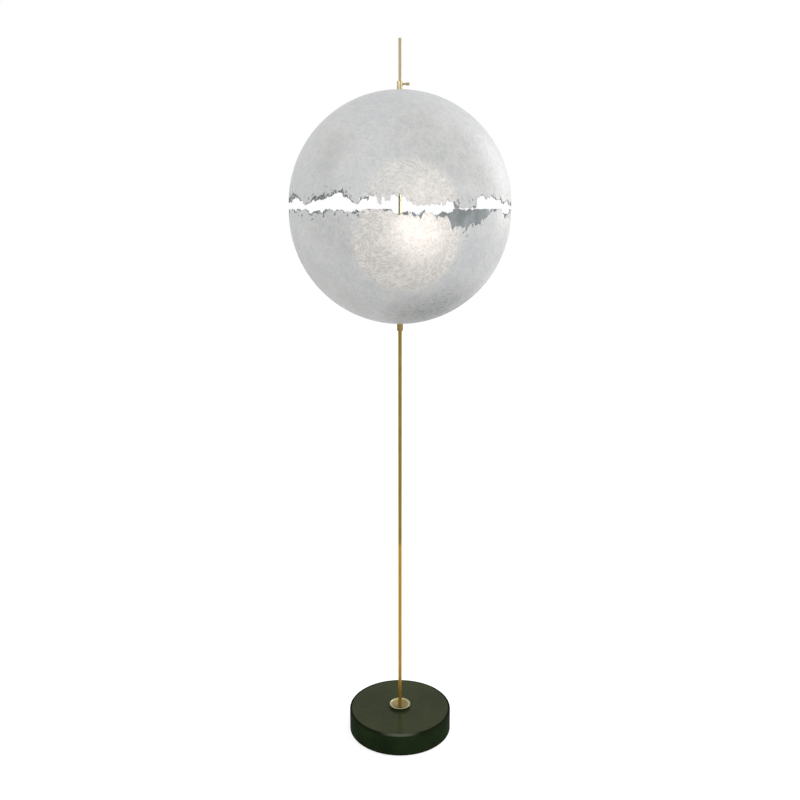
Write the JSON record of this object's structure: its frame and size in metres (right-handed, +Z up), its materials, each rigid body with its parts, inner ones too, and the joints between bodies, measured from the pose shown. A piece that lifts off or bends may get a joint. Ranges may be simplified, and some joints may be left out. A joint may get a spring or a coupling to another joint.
{
  "type": "globe floor lamp",
  "caption": "Floor lamp with a heavy disc foot, slim brass stem and a split globe of torn fibreglass bowls; the upper bowl slides and turns on its rod.",
  "frame": {"origin": "on the floor, under the middle of the foot, on the stem's axis", "axes": "+Z up along the stem, -Y towards the viewer, +X to the viewer's right, where the thumb screw points"},
  "size_m": [0.6, 0.6, 1.984],
  "materials": {
    "base_paint": "dark green-black enamel on casting, satin",
    "felt": "black felt",
    "zinc_steel": "zinc plated, dull",
    "rubber": "matt black",
    "flex_sheath": "smooth sheath",
    "block_nylon": "natural nylon",
    "dish_brass": "pale satin brass",
    "brass_bright": "polished brass",
    "brass_dull": "aged brass",
    "brass_pale": "pale polished brass",
    "fibreglass": "pale grey fibreglass with visible threads",
    "holder_black": "moulded, semi-gloss",
    "ceramic": "glazed",
    "bulb_opal": "opal glass",
    "bulb_metal": "bright"
  },
  "bodies": {
    "stand": {"base_disc": "base_paint", "base_pad": "felt", "base_cover": "zinc_steel", "cover_screws": "zinc_steel", "inlet_grommet": "rubber", "terminal_block": "block_nylon", "terminal_screws": "zinc_steel", "earth_screw": "zinc_steel", "stem_dish": "dish_brass", "stem_stud": "zinc_steel", "stud_washer": "zinc_steel", "lock_washer": "zinc_steel", "stud_nut": "zinc_steel", "lower_tube": "brass_bright", "tube_joiner": "zinc_steel", "middle_tube": "brass_dull", "rod_coupler": "brass_dull", "coupler_lid": "brass_dull", "upper_rod": "brass_pale", "inner_flex": "flex_sheath", "lower_sleeve": "brass_bright", "sleeve_grub_screw": "zinc_steel", "lower_bowl": "fibreglass", "lower_washer": "brass_bright", "lower_nut": "brass_bright", "holder_arm": "brass_dull", "arm_nut": "brass_dull", "holder_cap": "holder_black", "holder_skirt": "holder_black", "holder_insulator": "ceramic", "holder_thread": "brass_bright", "centre_contact": "brass_bright"},
    "upper_carriage": {"upper_collar": "brass_pale", "upper_washer": "brass_bright", "upper_nut": "brass_bright"},
    "thumb": {"thumb_screw": "brass_pale"},
    "upper_shade": {"upper_bowl": "fibreglass"},
    "bulb": {"bulb_cap": "bulb_metal", "bulb_glass": "bulb_opal"}
  },
  "joints": [
    {"name": "upper_slide", "type": "slide", "parent": "stand", "child": "upper_carriage", "axis": [0, 0, 1], "range_m": [0, 0.1]},
    {"name": "upper_turn", "type": "hinge", "parent": "upper_carriage", "child": "upper_shade", "pos_m": [0, 0, 1.8525], "axis": [0, 0, 1], "continuous": true},
    {"name": "thumb_turn", "type": "hinge", "parent": "upper_carriage", "child": "thumb", "pos_m": [0.01, 0, 1.868], "axis": [1, 0, 0], "range_deg": [0, 360]},
    {"name": "bulb_turn", "type": "hinge", "parent": "stand", "child": "bulb", "pos_m": [0.043, -0.095, 1.42], "axis": [0, 0, 1], "range_deg": [0, 360]}
  ]
}
